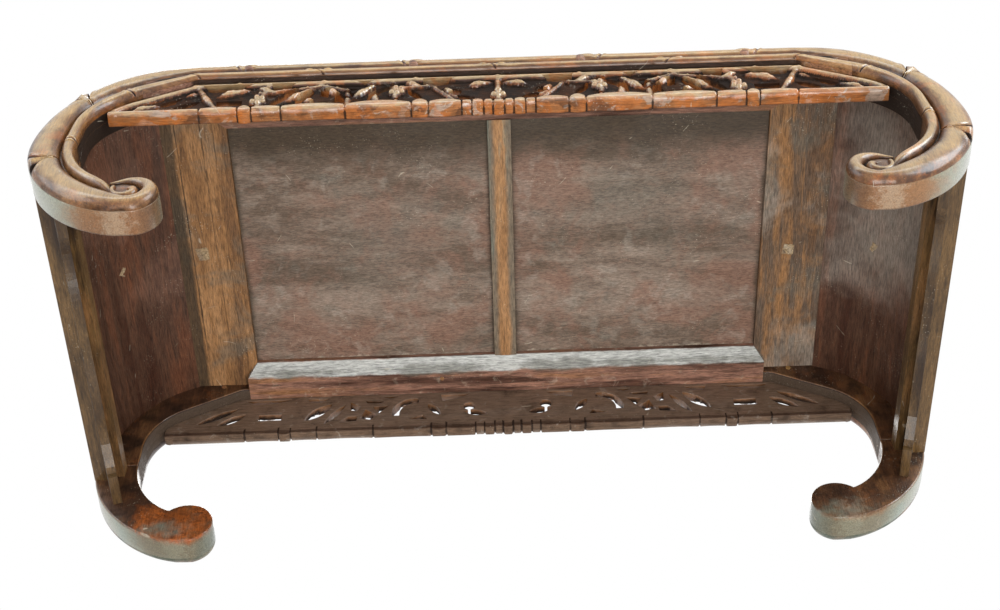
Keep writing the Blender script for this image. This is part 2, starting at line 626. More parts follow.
class Graph:
    """Adds nodes to a tree. A socket is given a number, a vector, a colour of three numbers or
    another node's output, which is linked."""

    def __init__(self, tree):
        self.nodes, self.links = tree.nodes, tree.links

    def fill(self, node, values):
        for key, value in values.items():
            socket = node.inputs[key]
            if isinstance(value, bpy.types.NodeSocket):
                self.links.new(value, socket)
            else:
                socket.default_value = (*value, 1.0) if socket.type == "RGBA" else value

    def add(self, kind, output, values=None, **settings):
        """One output of a new node."""
        node = self.nodes.new("ShaderNode" + kind)
        for key, value in settings.items():
            setattr(node, key, value)
        self.fill(node, values or {})
        return node.outputs[output]

    def calc(self, operation, *values, clamp=False):
        return self.add("Math", 0, dict(enumerate(values)), operation=operation, use_clamp=clamp)

    def times(self, first, second):
        return self.calc("MULTIPLY", first, second)

    def vector(self, operation, *values):
        return self.add("VectorMath", 0, dict(enumerate(values)), operation=operation)

    def step(self, value, low, high, to_low=0.0, to_high=1.0):
        """A smooth step from one value at low to another at high, which may lie under low."""
        ends = {"From Min": low, "From Max": high, "To Min": to_low, "To Max": to_high}
        return self.add("MapRange", "Result", {"Value": value, **ends}, interpolation_type="SMOOTHSTEP")

    def noise(self, place, scale, detail, rough=0.55, bend=0.0):
        return self.add("TexNoise", "Fac", {"Vector": place, "Scale": scale, "Detail": detail,
                                            "Roughness": rough, "Distortion": bend})

    def shared(self, name, place, values):
        """The outputs of a shared group, read at a place."""
        node = self.nodes.new("ShaderNodeGroup")
        node.node_tree = bpy.data.node_groups.get(name) or make_group(name)
        self.fill(node, {"Vector": place, **values})
        return node.outputs


def figure(graph, place, squeeze):
    """Figure of sawn wood: the place is squeezed along the grain, then read by four noises.
    Streaks are wide bands, fibres are fine lines, pores are short dark lines and mottle is
    large cloudy patches."""
    squeezed = graph.vector("MULTIPLY", place, squeeze)
    wide = graph.noise(squeezed, 9.0, 5.0, 0.6, 0.8)
    middle = graph.noise(squeezed, 46.0, 3.0, 0.6, 0.3)
    fibres = graph.noise(squeezed, 360.0, 4.0, 0.75, 0.2)
    pores = graph.noise(squeezed, 150.0, 2.0, 0.5)
    cloud = graph.noise(place, 6.5, 6.0, 0.62, 0.4)
    bands = graph.calc("MULTIPLY_ADD", wide, 0.62, graph.times(middle, 0.38))
    return {"Streaks": graph.step(bands, 0.36, 0.64), "Fibres": graph.step(fibres, 0.30, 0.70),
            "Pores": graph.step(pores, 0.60, 0.72), "Mottle": graph.step(cloud, 0.36, 0.66)}


def rubbed_and_grimed(graph, place, wear):
    """Rubbed ridges and dirty creases from the wear value that a carved piece carries, both
    broken up by noise. Rubbed rises where wear is near 1, grime where it falls below 0."""
    patchy = graph.calc("SUBTRACT", graph.noise(place, 30.0, 5.0, 0.65), 0.5)
    shifted = graph.calc("ADD", wear, patchy)
    return {"Rubbed": graph.step(shifted, 0.25, 0.85), "Grime": graph.step(shifted, 0.12, -0.30)}


def scuffs(graph, place, amount):
    """Specks of dust and thin scratches. Specks are the small bright cells of a Voronoi
    pattern, kept only where a noise is high. Scratches are the contour of a smooth noise
    at its middle value, kept only in a few short stretches."""
    cells = graph.add("TexVoronoi", "Distance", {"Vector": place, "Scale": 240.0})
    patches = graph.step(graph.noise(place, 14.0, 4.0, 0.7), 0.50, 0.72)
    specks = graph.times(graph.step(cells, 0.26, 0.10), patches)
    level = graph.calc("ABSOLUTE", graph.calc("SUBTRACT", graph.noise(place, 11.0, 0.0), 0.5))
    stretches = graph.step(graph.noise(place, 37.0, 1.0), 0.64, 0.70)
    scratches = graph.times(graph.step(level, 0.0050, 0.0020), stretches)
    return {"Specks": graph.times(specks, amount), "Scratches": graph.times(scratches, amount)}


def soft_box(graph, place, centre, half, soft, rag, grain):
    """A soft box with a ragged edge: the largest of |place - centre| - half size is the
    distance outside the box, a noise moves it, and the mask falls from 1 to 0 across it."""
    away = graph.vector("ABSOLUTE", graph.vector("SUBTRACT", place, centre))
    beyond = graph.nodes.new("ShaderNodeSeparateXYZ")
    graph.fill(beyond, {0: graph.vector("SUBTRACT", away, half)})
    x, y, z = beyond.outputs
    largest = graph.calc("MAXIMUM", x, graph.calc("MAXIMUM", y, z))
    ragged = graph.calc("SUBTRACT", graph.noise(place, grain, 5.0, 0.62), 0.5)
    moved = graph.calc("MULTIPLY_ADD", ragged, rag, largest)
    return {"Mask": graph.step(graph.calc("DIVIDE", moved, soft), 1.0, -1.0)}


# Shared groups: their makers, and the usual values of the inputs after the place
SHARED = {
    "Wood figure": (figure, {"Squeeze": (1, 1, 1)}),
    "Rubbed and grimed": (rubbed_and_grimed, {"Wear": 0.0}),
    "Scuffs": (scuffs, {"Amount": 0.5}),
    "Soft box": (soft_box, {"Centre": (0, 0, 0), "Half size": (1, 1, 1), "Soft": 0.01, "Rag": 0.0,
                            "Grain": 25.0}),
}


def make_group(name):
    """A shared node group, whose outputs are the numbers that its maker returns."""
    maker, inputs = SHARED[name]
    inputs = {"Vector": (0, 0, 0), **inputs}
    tree = bpy.data.node_groups.new(name, "ShaderNodeTree")
    for key, value in inputs.items():
        kind = "NodeSocketVector" if isinstance(value, tuple) else "NodeSocketFloat"
        tree.interface.new_socket(key, in_out="INPUT", socket_type=kind).default_value = value
    into = tree.nodes.new("NodeGroupInput").outputs
    graph = Graph(tree)
    results = maker(graph, *[into[key] for key in inputs])
    for key in results:
        tree.interface.new_socket(key, in_out="OUTPUT", socket_type="NodeSocketFloat")
    graph.fill(tree.nodes.new("NodeGroupOutput"), results)
    return tree


class Wood(Graph):
    """A wood finish, made in layers: streaks run from dark to light, mottle darkens them in
    clouds, fibres lighten and darken them finely, and pores darken and sink them. The layers
    after these are added one by one."""

    def __init__(self, name, tones, dark, middle, light, squeeze, offset=(0, 0, 0), mottle=0.5,
                 fibres=0.5, pores=0.55):
        self.material = bpy.data.materials.new(name)
        self.material.use_nodes = True
        super().__init__(self.material.node_tree)
        self.tones, self.fibres = tones, fibres
        self.rubbed = self.grime = self.dull = None
        self.place = self.add("TexCoord", "Object")
        self.shifted = self.add("Mapping", "Vector", {"Vector": self.place, "Location": offset})
        self.figure = self.shared("Wood figure", self.shifted, {"Squeeze": squeeze})
        ramp = self.nodes.new("ShaderNodeValToRGB")
        stops = ramp.color_ramp.elements
        stops[0].color = (*dark, 1)
        stops[1].color = (*light, 1)
        stops.new(0.5).color = (*middle, 1)
        self.fill(ramp, {"Fac": self.figure["Streaks"]})
        self.colour = ramp.outputs["Color"]
        self.lay(self.figure["Mottle"], mottle, dark)
        self.lay(self.figure["Pores"], pores, [c * 0.35 for c in dark])

    def lay(self, mask, strength, colour, within=None):
        """Another colour over the layers so far, where the mask is. Given a second mask, it
        keeps inside that one."""
        mask = self.times(mask, strength)
        if within:
            mask = self.times(within, mask)
        self.colour = self.add("Mix", 2, {0: mask, 6: self.colour, 7: colour}, data_type="RGBA")

    def cast(self, scale, low, high, strength, colour, within=None):
        """Clouds of another colour where a noise of that scale lies over the low value."""
        cloud = self.noise(self.shifted, scale, 6.0, 0.6, 0.6)
        self.lay(self.step(cloud, low, high), strength, colour, within)

    def box(self, centre, half, soft=0.006, rag=0.0, grain=25.0, outside=False, both=False, within=None):
        """Mask of a soft box, or of all outside it. With both set the box is mirrored to the
        other side of the middle. Given another mask, the box keeps inside it."""
        place = self.vector("ABSOLUTE", self.place) if both else self.place
        mask = self.shared("Soft box", place, {"Centre": centre, "Half size": half, "Soft": soft, "Rag": rag,
                                               "Grain": grain})["Mask"]
        if outside:
            mask = self.calc("SUBTRACT", 1.0, mask)
        return self.times(within, mask) if within else mask

    def zone(self, centre, half, colour, strength, *edge, **limits):
        """Another colour inside a soft box. Its edge is how soft it is, how far it is ragged
        and the scale of the ragging."""
        mask = self.box(centre, half, *edge, **limits)
        self.lay(mask, strength, colour)
        return mask

    def worn(self):
        """The wear value of a carved piece."""
        return self.add("Attribute", "Fac", attribute_name="wear")

    def wear(self, strength, tone):
        """Rubbed ridges, chips and grimed creases."""
        worn = self.shared("Rubbed and grimed", self.shifted, {"Wear": self.worn()})
        self.rubbed, self.grime = worn["Rubbed"], worn["Grime"]
        self.lay(self.rubbed, strength, tone)
        self.cast(24.0, 0.52, 0.66, 0.35, self.tones.orange)
        self.soil()

    def soil(self, strength=0.92):
        """Dirt in the creases, over everything laid before it."""
        self.lay(self.grime, strength, self.tones.grime)

    def scuff(self, amount):
        marks = self.shared("Scuffs", self.shifted, {"Amount": amount})
        self.lay(marks["Scratches"], 0.8, self.tones.dust)
        self.lay(marks["Specks"], 1.0, self.tones.dust)

    def polish_top(self, depth=0.004):
        """The polished upper side of the boards of the top."""
        self.zone((0, 0, TOP_HEIGHT), (2, 2, depth), self.tones.middle, 0.9, 0.001)

    def finish(self, coat, gloss, rough=(0.22, 0.42), bump=0.25, coat_rough=0.12, coat_ior=1.5):
        """The shader: rougher where it is mottled or grimed, less coated in the grime and
        where the dull mask lies."""
        fibres = self.figure["Fibres"]
        bright = self.calc("MULTIPLY_ADD", fibres, self.fibres * 1.7, 1 - self.fibres * 0.85)
        roughness = self.step(self.figure["Mottle"], 0.0, 1.0, *rough)
        if self.grime:
            roughness = self.calc("MULTIPLY_ADD", self.grime, 0.3, roughness)
            polish = self.calc("MULTIPLY_ADD", self.rubbed, 0.6 * coat, 0.4 * coat)
            if self.dull:
                polish = self.calc("MULTIPLY_ADD", self.dull, -0.8 * coat, polish)
            polish = self.calc("MULTIPLY_ADD", self.grime, -0.95 * coat, polish, clamp=True)
        else:
            polish = coat
        height = self.calc("MULTIPLY_ADD", fibres, 0.8, self.times(self.figure["Streaks"], 0.3))
        height = self.calc("MULTIPLY_ADD", self.figure["Pores"], -0.6, height)
        colour = self.add("HueSaturation", "Color", {"Value": bright, "Color": self.colour})
        relief = self.add("Bump", "Normal", {"Strength": bump, "Distance": 0.0008, "Height": height})
        self.fill(self.nodes["Principled BSDF"], {
            "Base Color": colour, "Roughness": roughness, "Normal": relief, "Coat Weight": polish,
            "Coat Roughness": coat_rough, "Coat IOR": coat_ior, "Specular IOR Level": gloss})
        return self.material


# Finishes

# Squeeze of the figure for a grain along each axis
ALONG_X, ALONG_Y, ALONG_Z = (0.16, 1.5, 1.5), (1.5, 0.16, 1.5), (1.5, 1.5, 0.16)
# Polish of the bamboo mouldings and the legs
GLOSSY = {"coat": 1.0, "coat_rough": 0.22, "gloss": 0.15, "coat_ior": 1.8}
# From the table's middle to the middle of each cross board
CROSS_BOARD_X = 0.455


def bamboo_wood(name, t, grain, rubbed):
    """Polished bamboo mouldings, worn on their ridges."""
    wood = Wood(name, t, t.leg_dark, t.leg_brown, t.leg_light, grain, fibres=0.35)
    wood.wear(rubbed, t.rubbed)
    return wood


def polished_rail(t):
    wood = bamboo_wood("Polished rail", t, ALONG_X, 0.75)
    wood.scuff(0.25)
    return wood.finish(**GLOSSY)


def polished_leg(t):
    """Polished bamboo and planks. A wear value of 3 marks the outer sides, which have a
    grey-green old polish. The soles are worn and gritty, and the left back foot shows orange."""
    wood = bamboo_wood("Polished leg", t, ALONG_Z, 0.72)
    legs, bamboo = bpy.context.scene.table_legs, bpy.context.scene.table_bamboo
    inside = legs.plank_face - legs.plank
    scroll_x = HALF_LENGTH - legs.foot_run
    wood.lay(wood.step(wood.worn(), 1.4, 2.4), 0.72, t.sheen)
    wood.cast(9.0, 0.54, 0.68, 0.45, t.sole)
    plank = wood.box((0, 0, 0), (2, legs.plank_face - bamboo.sunk - 0.001, 2), 0.002)
    on_plank = {"both": True, "within": plank}
    wood.dull = wood.zone((scroll_x + 0.020, 0, 0), (0.058, 1, 0.030), t.sole, 0.85,
                          0.022, 0.09, 17, **on_plank)
    wood.zone((scroll_x + 0.012, 0, 0), (0.016, 1, 0.030), t.dust, 0.40, 0.012, 0.07, 150, **on_plank)
    wood.zone((scroll_x - 0.035, 0, 0), (0.012, 1, 0.050), t.dark, 0.60, 0.020, 0.08, 24, **on_plank)
    wood.zone((0, inside, 0), (2, 0.0025, 2), t.board_deep, 0.55, 0.002, both=True)
    burr = wood.zone((-scroll_x - 0.009, inside, 0.030), (0.062, 0.003, 0.044), t.burr, 0.92,
                     0.010, 0.050, 60)
    wood.cast(110.0, 0.50, 0.58, 0.60, t.dark, burr)
    wood.soil(0.95)
    wood.zone((0, inside + 0.029, 0.015), (2, 0.022, 0.035), t.sheen, 0.50, 0.006, 0.050, 14)
    behind = wood.box((0, inside + 0.020, 0), (2, 0.060, 2))
    wood.lay(wood.step(wood.worn(), -0.60, -0.85), 0.60, t.board_dark, behind)
    wood.scuff(0.7)
    return wood.finish(**GLOSSY)


def carved_finish(t):
    """Dark glossy carving with pale ridges, orange wood in the openings and under the lower
    edge, and a rough grey back."""
    wood = Wood("Carved apron", t, t.dark, t.middle, t.light, ALONG_X, fibres=0.4)
    wood.wear(0.80, t.ridge)
    legs, apron = bpy.context.scene.table_legs, bpy.context.scene.table_apron
    face = legs.plank_face - apron.setback
    back = face - apron.board
    foot = apron.low - 0.006
    wood.zone((0, 0, 0), (2, face - 0.001, 2), t.sole, 0.80, 0.0008, 0.004, 40)
    wood.zone((0, -0.1, apron.low + 0.040), (2, face - 0.101, 0.034), t.orange, 0.60, 0.002, 0.050, 20)
    wood.zone((0, 0, 0), (2, back + 0.0015, 2), t.board, 0.75, 0.001)
    wood.dull = wood.zone((0, 0, foot), (2, 2, 0.0062), t.sole, 0.85, 0.0015, 0.003, 60)
    wood.zone((0, face, foot), (2, 0.1, 0.0085), t.board_dark, 0.85, 0.002, 0.003, 60)
    edge = wood.zone((0, -face, foot), (2, 0.1, 0.0085), t.orange, 0.62, 0.003, 0.030, 16)
    wood.cast(22.0, 0.50, 0.55, 0.55, t.sole, edge)
    wood.cast(34.0, 0.55, 0.59, 0.55, t.haze, edge)
    wood.cast(15.0, 0.56, 0.60, 0.60, t.dark, edge)
    wood.zone((0, 0, foot), (2, back + 0.0018, 0.012), t.dark, 0.60, 0.0012, 0.003)
    wood.cast(32.0, 0.50, 0.60, 0.40, t.orange, wood.box((0, -1, 0), (2, 1 - back, 2), 0.002))
    wood.soil()
    wood.cast(60.0, 0.60, 0.70, 0.30, t.haze)
    wood.scuff(0.6)
    return wood.finish(rough=(0.3, 0.5), coat=0.9, coat_rough=0.14, gloss=0.12, bump=0.5, coat_ior=1.8)


def rail_wood(t):
    """The rails' sawn side. The bevel on the back rail is planed and bare."""
    wood = Wood("Rail wood", t, t.dark, t.mahogany, t.light, ALONG_X, mottle=0.35, fibres=0.6)
    legs = bpy.context.scene.table_legs
    under = TOP_HEIGHT - legs.rail_height
    rail_depth = 0.087
    inner = legs.plank_face - rail_depth
    wood.cast(60.0, 0.56, 0.70, 0.25, t.dust)
    wood.zone((0, inner + 0.011, under + 0.0075), (0.43, 0.0112, 0.0070), t.planed, 0.95, 0.0014, 0.007, 26)
    wood.zone((0, inner + 0.017, under + 0.0040), (0.43, 0.0050, 0.0030), t.bloom, 0.70, 0.004, 0.030, 16)
    wood.zone((0, -legs.plank_face, under), (2, 0.014, 0.005), t.grime, 0.92, 0.003, 0.008, 30)
    wood.zone((0, -inner - 0.030, under), (2, 0.034, 0.005), t.board_edge, 0.85, 0.004, 0.010, 30)
    wood.scuff(0.5)
    return wood.finish(rough=(0.3, 0.5), coat=0.1, gloss=0.2)


def board_finish(wood, bump):
    """The bare underside of the boards under the top."""
    wood.polish_top()
    wood.scuff(0.6)
    return wood.finish(rough=(0.42, 0.6), coat=0.0, gloss=0.20, bump=bump)


def top_panel(t):
    """Underside of the panels: brown, with red clouds, grey-green patches and darker edges."""
    wood = Wood("Top panel", t, t.board_dark, t.board, t.board_light, (0.35, 1.5, 1.5), mottle=0.12,
                fibres=0.45, pores=0.15)
    wood.cast(9.0, 0.46, 0.62, 0.65, t.board_red)
    wood.cast(30.0, 0.52, 0.68, 0.28, t.haze)
    wood.cast(45.0, 0.52, 0.66, 0.30, t.board_red)
    low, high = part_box("top_panel_right")
    middle, half = (low.x + high.x) / 2, (high.x - low.x) / 2
    wood.zone((-middle + 0.045, -0.02, 0), (0.050, 0.050, 2), t.bloom, 0.55, 0.060, 0.24, 9)
    wood.zone((middle - 0.020, -0.06, 0), (0.080, 0.040, 2), t.bloom, 0.40, 0.060, 0.24, 8)
    wood.cast(15.0, 0.54, 0.66, 0.30, t.bloom)
    ends = {"outside": True, "both": True}
    wood.zone((middle, 0, 0), (half - 0.010, 0.3, 2), t.board_edge, 0.80, 0.006, 0.018, 16, **ends)
    wood.zone((middle, 0, 0), (half - 0.002, 0.3, 2), t.dust, 0.35, 0.0010, 0.012, 60, **ends)
    wood.zone((0, -0.215, 0), (2, 0.062, 2), t.board_edge, 0.95, 0.035, 0.08, 12)
    wood.zone((0, 0.2175, 0), (2, 0.0050, 2), t.dust, 0.40, 0.0020, 0.030, 60)
    return board_finish(wood, 0.35)


def cross_board_left(t):
    """An orange board with dark lines along it, grey patches and a dark outer strip."""
    wood = Wood("Cross board left", t, t.ochre_dark, t.ochre, t.ochre_light, ALONG_Y, mottle=0.30,
                fibres=0.55)
    wood.cast(13.0, 0.50, 0.66, 0.50, t.bloom)
    for shift, strength in ((-0.026, 0.9), (0.012, 0.8), (0.030, 0.6)):
        wood.zone((shift - CROSS_BOARD_X, 0, 0), (0.0007, 0.3, 1), t.grime, strength, 0.0010, 0.010, 4)
    wood.zone((-CROSS_BOARD_X - 0.042, 0, 0), (0.012, 0.3, 1), t.board_edge, 0.85, 0.003, 0.010, 9)
    wood.zone((-CROSS_BOARD_X - 0.051, 0, 0), (0.0020, 0.3, 1), t.grime, 0.90, 0.0010, 0.002, 20)
    return board_finish(wood, 0.6)


def cross_board_right(t):
    """A dark board with grey and orange clouds and a dark outer line."""
    wood = Wood("Cross board right", t, t.ochre_dark, t.board_dark, t.ochre, ALONG_Y, (0.3, 0.1, 0),
                mottle=0.20, fibres=0.55)
    wood.cast(7.0, 0.46, 0.64, 0.40, t.haze)
    wood.cast(14.0, 0.52, 0.68, 0.50, t.bloom)
    wood.cast(20.0, 0.52, 0.66, 0.35, t.ochre)
    wood.zone((CROSS_BOARD_X + 0.050, 0, 0), (0.0020, 0.3, 1), t.grime, 0.90, 0.0010, 0.002, 20)
    return board_finish(wood, 0.6)


def end_board(t):
    """Dark inside, with a red cast and a pale bloom on the right board. Outside the boards are
    polished."""
    wood = Wood("End board", t, t.dark, t.board_deep, t.middle, ALONG_Y, mottle=0.30)
    wood.cast(8.0, 0.50, 0.66, 0.30, t.board_red)
    wood.zone((HALF_LENGTH, -0.08, 0.30), (0.11, 0.14, 0.12), t.haze, 0.45, 0.05, 0.16, 11)
    wood.lay(wood.step(wood.worn(), 0.6, 0.9), 1.0, t.middle)
    wood.scuff(0.5)
    return wood.finish(rough=(0.40, 0.6), coat=0.0, gloss=0.18, bump=0.5)


def batten(t):
    """Orange in the middle and grey along its edges."""
    wood = Wood("Batten", t, t.ochre, t.ochre_light, t.sheen, ALONG_Y, mottle=0.1)
    wood.zone((0, 0, 0), (0.009, 1, 1), t.bloom, 0.75, 0.004, 0.010, outside=True)
    wood.polish_top(0.003)
    wood.scuff(0.6)
    return wood.finish(rough=(0.4, 0.55), coat=0.0, gloss=0.25, bump=0.5)


# Finishes without special layers: dark, middle and light tones, grain, roughness and coat
PLAIN_WOODS = {
    "End rail": ("rail_dark", "rail_brown", "rail_gold", ALONG_Y, (0.3, 0.5), 0.3),
    "Ledger": ("rail_dark", "rail_gold", "ochre", ALONG_Y, (0.35, 0.55), 0.2),
    "Peg": ("middle", "light", "rubbed", ALONG_Z, (0.4, 0.6), 0.05),
    "Old paper": ("board", "paper", "dust", (1, 1, 1), (0.7, 0.9), 0.0),
}
FINISHES = {
    "Polished rail": polished_rail, "Polished leg": polished_leg, "Carved apron": carved_finish,
    "Rail wood": rail_wood, "Top panel": top_panel, "Cross board left": cross_board_left,
    "Cross board right": cross_board_right, "End board": end_board, "Batten": batten,
}
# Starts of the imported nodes' names, each with its finish. The first that fits is taken.
NODE_FINISHES = {
    "rail_pegs": "Peg", "rail": "Rail wood", "knee": "Polished leg", "foot": "Polished leg",
    "apron": "Carved apron", "cross_board_left": "Cross board left",
    "cross_board_right": "Cross board right", "top_panel": "Top panel", "centre_batten": "Batten",
    "end_board": "End board", "end_rail": "End rail", "end_apron": "End rail",
    "end_ledger": "Ledger", "lap_pegs": "Peg",
}


def plain_wood(name, t):
    dark, middle, light, grain, rough, coat = PLAIN_WOODS[name]
    wood = Wood(name, t, getattr(t, dark), getattr(t, middle), getattr(t, light), grain)
    wood.scuff(0.5)
    return wood.finish(rough=rough, coat=coat, gloss=0.2)


def finish_named(name):
    """The finish of that name, made on first use."""
    tones = bpy.context.scene.table_tones
    if name in bpy.data.materials:
        return bpy.data.materials[name]
    return plain_wood(name, tones) if name in PLAIN_WOODS else FINISHES[name](tones)


# Pieces

# Shells are made for the front side and the right end. A way of -1 mirrors them to the others.
SIDES = {"front": 1, "back": -1}
ENDS = {"right": 1, "left": -1}
# How far the mouldings keep inside the outline, and the arris where a plank meets another
HAIR, SHARP = 0.0004, 0.0003
# Wear values of a plank's sides: old polish outside, dirt in the hollow of the C
WORN_SIDE, DIRTY_SIDE = 3.0, -0.9


def lap_curve(form, run):
    """Angle on the upper curve of the point that lies in from the widest one by a run."""
    return math.acos(1 - run / form.curve_run)


def knee_lines(legs, bamboo, f):
    """Outer, dividing and inner lines of the knee's bamboo, with f from the lap to the waist."""
    outer = upper_curve(legs, lap_curve(legs, legs.lap_out) * (1 - f), HAIR)
    _, centre, turn = shoulder_points(legs)
    lap = HALF_LENGTH - legs.lap_out
    first = np.array([lap, shoulder_height(legs, lap)])
    straight = lerp(first, armpit_curve(legs, turn), capped(f / 0.2)[:, None])
    arc = armpit_curve(legs, turn * (1 - capped((f - 0.2) / 0.55)))
    down = np.stack([np.full(len(f), HALF_LENGTH - legs.width),
                     lerp(centre[1], legs.waist, capped((f - 0.75) / 0.25))], 1)
    inner = np.where((f < 0.2)[:, None], straight, np.where((f < 0.75)[:, None], arc, down))
    share = lerp(bamboo.rail_share, bamboo.leg_share, capped(f * 1.15))[:, None]
    return outer, lerp(outer, inner, share), inner


def place_along(line, x=None, z=None):
    """Distance along a line to the point nearest a given X or height."""
    near = np.abs(line[:, 0] - x) if x is not None else np.abs(line[:, 1] - z)
    return run_along(line)[np.argmin(near)]


def knee_shells(legs, bamboo):
    """Plank of the knee in two halves, as the lap needs, and its two mouldings."""
    face, half = -legs.plank_face, legs.plank / 2
    lap = HALF_LENGTH - legs.lap_out
    outer = upper_curve(legs, np.linspace(lap_curve(legs, legs.lap_out), 0, 60))
    _, _, turn = shoulder_points(legs)
    inner = np.concatenate([[[HALF_LENGTH - legs.width, legs.waist]],
                            armpit_curve(legs, np.linspace(0, turn, 40)),
                            [[lap, shoulder_height(legs, lap)]]])
    outline = np.concatenate([outer, inner])[::-1]
    arris = np.full(len(outline), legs.arris)
    arris[[0, -1, len(inner) - 1, len(inner)]] = SHARP
    sides = np.where(np.arange(len(outline)) < len(inner), DIRTY_SIDE, WORN_SIDE)
    front = slab(outline, face + bamboo.sunk, face + half, arris, 0.0001, sides)
    x = np.linspace(lap - legs.lap_length, lap, 12)
    top = np.stack([x, top_edge(legs, x)], 1)
    low = np.stack([x, shoulder_height(legs, x)], 1)
    outline = np.concatenate([top, outer[1:], inner[:-1], low[::-1]])[::-1]
    sides = np.where(np.arange(len(outline)) < len(inner) + len(low) - 1, DIRTY_SIDE, WORN_SIDE)
    back = slab(outline, face + half, face + legs.plank, 0.0001, legs.arris, sides)
    a, mid, b = knee_lines(legs, bamboo, np.linspace(0, 1, 420))
    outer_line, inner_line = (a + mid) / 2, (b + mid) / 2
    gap = 0.03
    sunk = {"sunk": bamboo.sunk, "blend": 0.06}
    leaf_height = upper_curve(legs, bamboo.leaf_angle)[1] - 0.012
    leaf = place_along(outer_line, z=leaf_height), bamboo.leaf * 1.15
    knots = [(place_along(inner_line, x=0.524), bamboo.knot, -0.5),
             (place_along(inner_line, z=0.182), bamboo.knot, 0.0)]
    outer_roll = roll(legs, a, lerp(a, mid, 1 - gap), bamboo.outer_height, leaves=[leaf], columns=34, **sunk)
    inner_roll = roll(legs, lerp(b, mid, 1 - 2 * gap), b, bamboo.inner_height, knots, **sunk)
    return [front, back, outer_roll, inner_roll]


def foot_lines(legs, bamboo, f):
    outer = foot_curve(legs, f, HAIR)
    inner = foot_curve(legs, f, hollow=True)
    return outer, lerp(outer, inner, bamboo.leg_share), inner


def groove_radius(legs, bamboo, share):
    """Radius of the groove beside the bamboo on the scroll, from the eye out to the notch."""
    return lerp(bamboo.eye, legs.scroll - 0.004, share ** 2.4)


def foot_shells(legs, bamboo):
    """Plank of the foot with its scroll, the outer moulding that wraps round the scroll, the
    inner one that dies into the notch, and the small curl inside the eye."""
    notch = notch_share(legs)
    meet = foot_curve(legs, np.array([notch]), hollow=True)[0] - scroll_centre(legs)
    notch_angle = 2 * math.pi - math.atan2(meet[0], -meet[1])
    outer = foot_curve(legs, np.linspace(0, 1, 60))
    rim = scroll_rim(legs, np.linspace(0, notch_angle, 70), legs.scroll)[1:]
    hollow = foot_curve(legs, np.linspace(notch, 0, 40), hollow=True)
    outline = np.concatenate([outer, rim, hollow])[::-1]
    outline[:, 1] = np.maximum(outline[:, 1], 0.0)
    arris = np.full(len(outline), legs.arris)
    arris[[0, -1]] = SHARP
    sides = np.where(np.arange(len(outline)) >= len(hollow), WORN_SIDE, 0.0)
    if not anticlockwise(outline):
        outline, sides = outline[::-1], sides[::-1]
    plank = slab(outline, bamboo.sunk - legs.plank_face, legs.plank - legs.plank_face, arris, arris, sides)
    f = np.linspace(0, 1, 260)
    a, mid, b = foot_lines(legs, bamboo, f)
    eye_start = scroll_rim(legs, np.array([0.0]), bamboo.eye)
    mid_scroll = lerp(mid, eye_start, capped((f - 0.35) / 0.65)[:, None] ** 2)
    turn = np.linspace(0, notch_angle, 120)[1:]
    outer_a = np.concatenate([a, scroll_rim(legs, turn, legs.scroll - HAIR)])
    outer_a[:, 1] = np.maximum(outer_a[:, 1], HAIR)
    groove = scroll_rim(legs, turn, groove_radius(legs, bamboo, turn / notch_angle))
    outer_b = np.concatenate([lerp(a, mid_scroll, 0.985), groove])
    wide = np.linalg.norm(outer_b - outer_a, axis=1)
    high = (bamboo.outer_height + bamboo.sunk) * np.clip(wide / 0.024, 0.3, 1.0) - bamboo.sunk
    leaf = place_along((a + mid) / 2, z=0.128), bamboo.leaf
    outer_roll = roll(legs, outer_a, outer_b, high, leaves=[leaf], columns=34, sunk=bamboo.sunk)
    keep = f <= notch
    inner_roll = roll(legs, lerp(mid_scroll, b, 0.05)[keep], b[keep], bamboo.inner_height, taper=(0, 0.03),
                      sunk=bamboo.sunk)
    return [plank, outer_roll, inner_roll, eye_dome(legs, bamboo, notch_angle), curl(legs, notch_angle)]


def eye_dome(legs, bamboo, notch_angle):
    """Low dome that fills the scroll's eye, so that the curl lies in a shallow hollow. Its rim
    is the groove beside the outer bamboo, and it rises by (1 - r^2) towards the centre."""
    columns = 60
    angle = np.linspace(0, 2 * np.pi, columns, endpoint=False)
    rim = groove_radius(legs, bamboo, capped(angle / notch_angle))
    past = capped((angle - notch_angle) / (2 * np.pi - notch_angle))
    rim = lerp(rim, bamboo.eye, past)
    share = np.linspace(1, 0.02, 12)[:, None]
    flat = scroll_centre(legs) - (rim * share)[..., None] * np.stack([np.sin(angle), np.cos(angle)], -1)
    y = bamboo.sunk - (bamboo.sunk + 0.0030) * (1 - share ** 2) - legs.plank_face
    base = in_space(flat[:1], bamboo.sunk + 0.002 - legs.plank_face)
    points = np.concatenate([base, in_space(flat, y)])
    wear = np.concatenate([[0.0], 0.10 - 0.75 * share[:, 0] ** 4])
    faces = flipped(tube_faces(len(points), columns))
    return points.reshape(-1, 3), faces, np.repeat(wear, columns)


def curl(legs, notch_angle):
    """The bamboo's end, curled in the eye: a ridge that starts thin at the notch, winds inwards
    and swells to a knob."""
    turn = np.linspace(notch_angle + 0.10, notch_angle + 2 * math.pi * 0.80, 90)
    fade = np.linspace(0, 1, 90)
    path = scroll_rim(legs, turn, lerp(0.0235, 0.0045, fade ** 0.7))
    half = lerp(0.0030, 0.0070, np.sin(fade * np.pi / 2) ** 1.2)[:, None]
    toward = direction(path - scroll_centre(legs))
    return roll(legs, path + toward * half, path - toward * half, lerp(0.0045, 0.0085, fade),
                columns=16, taper=(0.012, 0.010))


